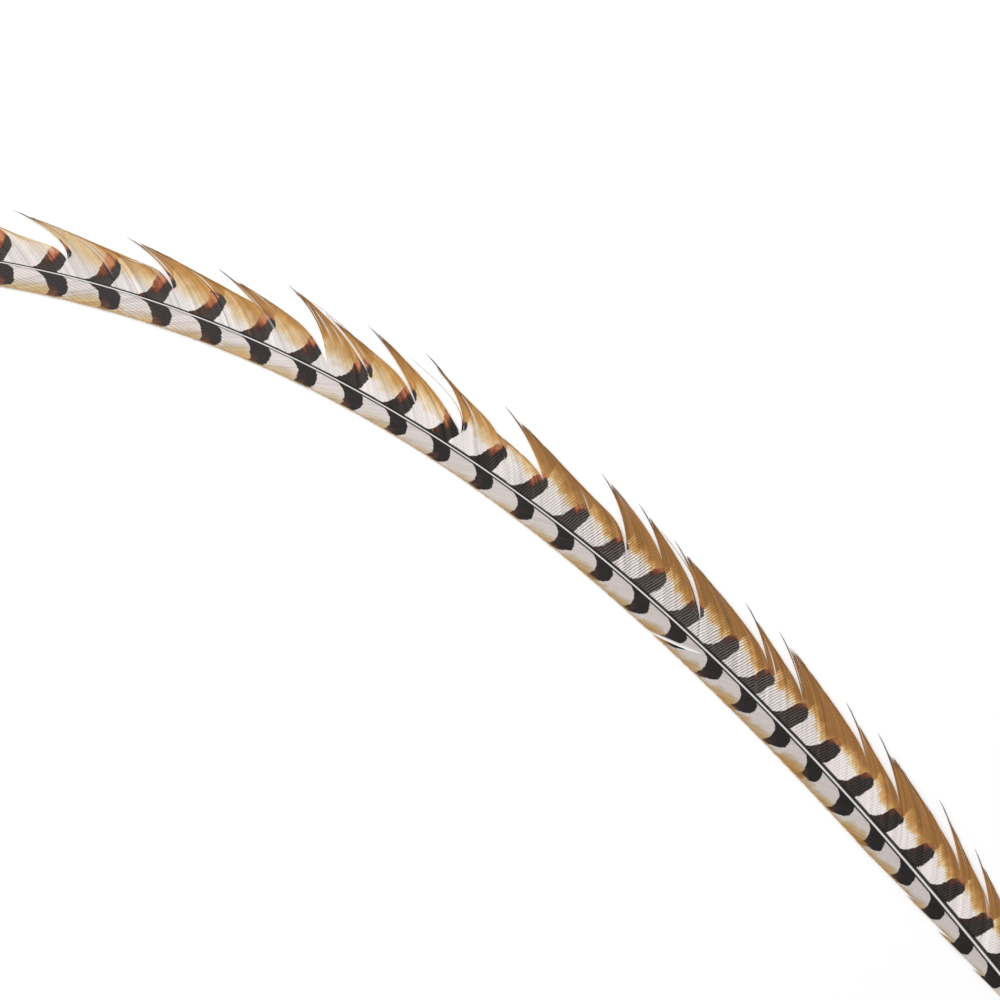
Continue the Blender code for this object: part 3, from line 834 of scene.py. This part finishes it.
def makeDown(material):
    # woolly barbs where the vanes run out: tufts of thin strips, each with small waves along its length
    # that grow towards its end
    noise = np.random.default_rng(down["seed"])
    tufts = 2 * down["tufts"]
    count = tufts * down["strands"]
    tuft = np.repeat(np.arange(tufts), down["strands"])
    side = np.where(tuft % 2 == 0, 1.0, -1.0)[:, None]
    back = noise.uniform(down["from"], down["to"], tufts)[tuft] + noise.normal(0.0, 0.0005, count)
    root = (shaft["length"] - back)[:, None]
    share = np.linspace(0.0, 1.0, down["stations"])[None, :]
    early = (back - down["from"]) / (down["to"] - down["from"])
    last, first = down["angles"]
    angle = last + (first - last) * early + noise.normal(0.0, down["strays"], tufts)[tuft]
    angle = np.radians(angle + noise.normal(0.0, down["fan"], count))[:, None]
    length = noise.uniform(*down["length"], tufts)[tuft] * noise.uniform(down["shortest"], 1.0, count)
    length *= down["endLength"] + (1.0 - down["endLength"]) * smoothStep(0.0, 0.6, early)
    bent = angle - noise.uniform(*down["droop"], tufts)[tuft][:, None] * share
    phases = noise.uniform(0.0, 2.0 * math.pi, (3, count, 1))
    turns = 2.0 * math.pi * share * noise.uniform(*down["turns"], count)[:, None]
    along, across = (down["curl"] * share * np.sin(turns + phase) for phase in (phases[1], phases[0]))
    toTip = length[:, None] * share * np.cos(bent) + along
    outward = 0.4 * shaftWidth(root) + length[:, None] * share * np.sin(bent) + 0.5 * across
    x, y = planAt(root - toTip, side * outward)
    flat = 0.45 * shaftDepth(root)
    z = flat + (noise.uniform(*down["endHeight"], count)[:, None] - flat) * np.sqrt(share)
    z = z + 0.0004 * share * np.sin(9.0 * share + phases[2])
    half = 0.5 * down["width"] * (1.0 - (1.0 - down["endWidth"]) * share)
    thick = down["thickness"] * half
    corners = acrossStrip(x, y, z, squareTo(x, y), half, 0.0, thick, thick)
    tone = np.zeros((count, down["stations"], 3))
    tone[:, :, 0] = noise.uniform(-1.0, 1.0, count)[:, None]
    return stripsToPiece("down", corners, {"barbOwn": tone}, material)


def downMaterial():
    # woolly down: pale warm grey, a little lighter or darker from strand to strand
    material, add = newMaterial("woollyDown")
    own = add("Attribute", attribute_name="barbOwn")
    tone = add("SeparateXYZ", (own.outputs["Vector"],)).outputs[0]
    shade = add("MapRange", (tone, -1.0, 1.0, 0.84, 1.0))
    colour = add("Mix", {0: 1.0, 6: down["colour"], 7: shade}, blend_type="MULTIPLY")
    shader = add("BsdfPrincipled", {
        "Base Color": colour, "Roughness": 0.8, "Sheen Weight": 0.2, "IOR": 1.54,
    })
    add("OutputMaterial", {"Surface": shader})
    return material


def makeShaft(material):
    # a superellipse carried along the shaft's line, grooved below: its width and depth taper at the quill's
    # end, and at the tip by the root of the way that is left
    length, end = shaft["length"], shaft["quillEnd"]
    rounding = 1.0 - np.sin(np.linspace(0.12, 0.5, shaft["endStations"]) * math.pi)
    even = np.linspace(-shaft["pastTip"], length - end, shaft["stations"])
    fromTip = np.concatenate((even, length - end * rounding))
    back = length - fromTip
    tapers, shares = np.array(shaft["quillTaper"][::-1]).T
    full = shares[-1] + (1.0 - shares[-1]) * smoothStep(tapers[-1], shaft["fullFrom"], back)
    taper = np.where(back > tapers[-1], full, np.interp(back, tapers, shares))
    pointed = np.sqrt(np.clip((fromTip + shaft["pointOver"]) / shaft["pointOver"], 0.05, 1.0))
    taper *= np.where(fromTip < 0.0, pointed, 1.0)
    angle = np.linspace(0.0, 2.0 * math.pi, shaft["sides"], endpoint=False)
    power = 2.0 / shaft["squareness"]
    across = np.sign(np.cos(angle)) * np.abs(np.cos(angle)) ** power
    up = np.sign(np.sin(angle)) * np.abs(np.sin(angle)) ** power
    halfWidth = 0.5 * shaftWidth(fromTip) * taper
    depth = shaftDepth(fromTip) * taper
    middle = 0.5 * shaftDepth(fromTip)
    z = middle[:, None] + 0.5 * depth[:, None] * up[None, :]
    before, after = shaft["grooveEnds"]
    vaned = 1.0 - smoothStep(vaneEnd - before, vaneEnd + after, fromTip)
    groove = shaft["groove"] * np.clip(1.0 - (across / shaft["grooveWidth"]) ** 2, 0.0, 1.0)
    groove = np.where(up < 0.0, groove, 0.0)
    z = z + groove[None, :] * (depth * vaned)[:, None]
    x, y = planAt(fromTip[:, None], across[None, :] * halfWidth[:, None])
    corners = np.stack((x, y, z), -1)
    count, sides = len(fromTip), shaft["sides"]
    index = np.arange(count * sides).reshape(count, sides)
    here, there = index[:-1], index[1:]
    around = np.roll(there, -1, axis=1), np.roll(here, -1, axis=1)
    walls = np.stack((here, there, *around), -1).reshape(-1, 4)
    faces = [*walls.tolist(), index[0].tolist(), index[-1, ::-1].tolist()]
    mesh = bpy.data.meshes.new("shaft")
    mesh.from_pydata(corners.reshape(-1, 3).tolist(), [], faces)
    place = np.stack(np.broadcast_arrays(1000.0 * fromTip[:, None], across[None, :], 0.0), -1)
    setVectors(mesh, "shaftPlace", place)
    mesh.shade_smooth()
    return makePiece(mesh, material)


horn = {
    "paleAside": 0.30,  # of half the width, that the pale line lies to the narrow vane's side
    "paleWidth": (280.0, 560.0, 0.64, 0.36),  # mm from the tip, and half the pale line's width there
    "turnsBare": (1050.0, 1136.0, 0.0, 1.0),  # mm from the tip
    "pale": "#EEEAE7", "dark": "#2A2320", "bare": "#E9DEC6",
}


def hornMaterial():
    # horn of the shaft: pale grey-white along the top, dark down its sides, clear and yellower on the quill
    material, add = newMaterial("hornShaft")
    place = add("Attribute", attribute_name="shaftPlace")
    fromTip, across, _ = add("SeparateXYZ", (place.outputs["Vector"],)).outputs
    aside = add("Math", (across, horn["paleAside"]), "ADD")
    aside = add("Math", (aside,), "ABSOLUTE")
    paintedHighlightFull = add("MapRange", (fromTip, *horn["paleWidth"]))
    past = add("Math", (aside, paintedHighlightFull), "SUBTRACT")
    side = add("MapRange", (past, 0.0, 0.10), **sShaped)
    # grain in long streaks: one noise step is about 12 mm along the shaft
    streakAlong = add("Math", (fromTip, 0.05), "MULTIPLY")
    streakAcross = add("Math", (across, 2.0), "MULTIPLY")
    streak = add("CombineXYZ", (streakAlong, streakAcross))
    streaks = {"Vector": streak, "Scale": 1.6, "Detail": 4.0}
    grain = add("TexNoise", streaks, noise_dimensions="2D")
    colour = add("Mix", {0: side, 6: horn["pale"], 7: horn["dark"]})
    bare = add("MapRange", (fromTip, *horn["turnsBare"]), **sShaped)
    colour = add("Mix", {0: bare, 6: colour, 7: horn["bare"]})
    mottle = add("MapRange", (grain.outputs[0], 0.3, 0.7, 0.88, 1.04))
    colour = add("Mix", {0: 1.0, 6: colour, 7: mottle}, blend_type="MULTIPLY")
    shader = add("BsdfPrincipled", {
        "Base Color": colour, "Roughness": 0.34, "IOR": 1.54, "Subsurface Weight": 0.1,
        "Subsurface Radius": (0.002, 0.0015, 0.001), "Subsurface Scale": 0.3,
    })
    add("OutputMaterial", {"Surface": shader})
    return material


camera = {
    "frameWidth": 0.6,  # metres across the picture
    "lens": 200.0, "sensor": 36.0,
    "turn": -151.78,  # degrees about the vertical
    "leftEdgeAt": 0.28,  # from the tip, where the shaft crosses the picture's left edge
    "centreFromThere": (-0.33186, -0.01605),
    "focusAt": 0.002,  # height on the feather that the frame's width is measured at
    "clip": (0.1, 60.0),
}


def makeCamera():
    # straight down on the feather, from the frame's width times the lens over the sensor's width
    data = bpy.data.cameras.new("camera")
    data.lens, data.sensor_width = camera["lens"], camera["sensor"]
    data.clip_start, data.clip_end = camera["clip"]
    obj = bpy.data.objects.new("camera", data)
    x, y = planAt(np.array(camera["leftEdgeAt"]), 0.0)
    dx, dy = camera["centreFromThere"]
    height = camera["frameWidth"] * camera["lens"] / camera["sensor"]
    obj.location = (float(x) + dx, float(y) + dy, height + camera["focusAt"])
    obj.rotation_euler = (0.0, 0.0, math.radians(camera["turn"]))
    bpy.context.collection.objects.link(obj)
    bpy.context.scene.camera = obj
    return obj


studio = {
    "roomLight": 0.45,
    "lampSize": 2.2, "lampPower": 46.0, "lampAt": (1.2, -0.6, 2.2),  # from the middle of the picture
    "floorReach": 20.0, "floorAt": -0.0002,
    "floorWhite": 0.84, "floorRoughness": 0.9, "floorGlow": 0.27,
}


def makeStudio(centre):
    # white room light from all round, one broad soft lamp above the picture's upper left, and a pale floor
    scene = bpy.context.scene
    scene.view_settings.view_transform = "Standard"
    world = bpy.data.worlds.new("studio")
    world.use_nodes = True
    background = world.node_tree.nodes["Background"].inputs
    background["Color"].default_value = (1.0, 1.0, 1.0, 1.0)
    background["Strength"].default_value = studio["roomLight"]
    scene.world = world
    lamp = bpy.data.lights.new("softbox", "AREA")
    lamp.shape, lamp.size, lamp.energy = "DISK", studio["lampSize"], studio["lampPower"]
    obj = bpy.data.objects.new("softbox", lamp)
    aside, ahead, height = studio["lampAt"]
    obj.location = (centre[0] + aside, centre[1] + ahead, height)
    tilt, turn = math.atan2(math.hypot(aside, ahead), height), math.atan2(-ahead, -aside) - math.pi / 2.0
    obj.rotation_euler = (tilt, 0.0, turn)  # it faces the middle of the picture
    bpy.context.collection.objects.link(obj)
    mesh = bpy.data.meshes.new("floor")
    far, low = studio["floorReach"], studio["floorAt"]
    corners = [(-far, -far, low), (far, -far, low), (far, far, low), (-far, far, low)]
    mesh.from_pydata(corners, [], [(0, 1, 2, 3)])
    floor = bpy.data.objects.new("floor", mesh)
    paint = bpy.data.materials.new("paleFloor")
    paint.use_nodes = True
    inputs = paint.node_tree.nodes["Principled BSDF"].inputs
    inputs["Base Color"].default_value = (*[studio["floorWhite"]] * 3, 1.0)
    inputs["Roughness"].default_value = studio["floorRoughness"]
    inputs["Emission Color"].default_value = (1.0, 1.0, 1.0, 1.0)
    inputs["Emission Strength"].default_value = studio["floorGlow"]
    mesh.materials.append(paint)
    bpy.context.collection.objects.link(floor)


view = makeCamera()
makeStudio(view.location)
print("camera, light and floor are set")

rng = random.Random(barbs["seed"])
wideLocks = findLocks(wideVane, rng)
narrowLocks = findLocks(narrowVane, rng)
wideKeratin = vaneMaterial("combedKeratinWide", widePattern)
narrowKeratin = vaneMaterial("combedKeratinNarrow", narrowPattern)

pieces = [makeShaft(hornMaterial())]
print("shaft is made")
for name, vane, reachAt, locks, keratin in (
    ("wideVane", wideVane, wideReach, wideLocks, wideKeratin),
    ("narrowVane", narrowVane, narrowReach, narrowLocks, narrowKeratin),
):
    ends = (barbs["firstAt"], *vane["parts"], vaneEnd)
    for number, (low, high) in enumerate(zip(ends, ends[1:]), start=1):
        seed = vane["seed"] + number
        pieces.append(makeVane(f"{name}{number}", vane, reachAt, locks, low, high, seed, keratin))
print("both vanes are made")
pieces.append(makeDown(downMaterial()))
print("down is made")

for piece in pieces:
    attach(piece, "root")
    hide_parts("feather")
    piece.data.calc_loop_triangles()
    print(piece.name, len(piece.data.loop_triangles), "triangles")
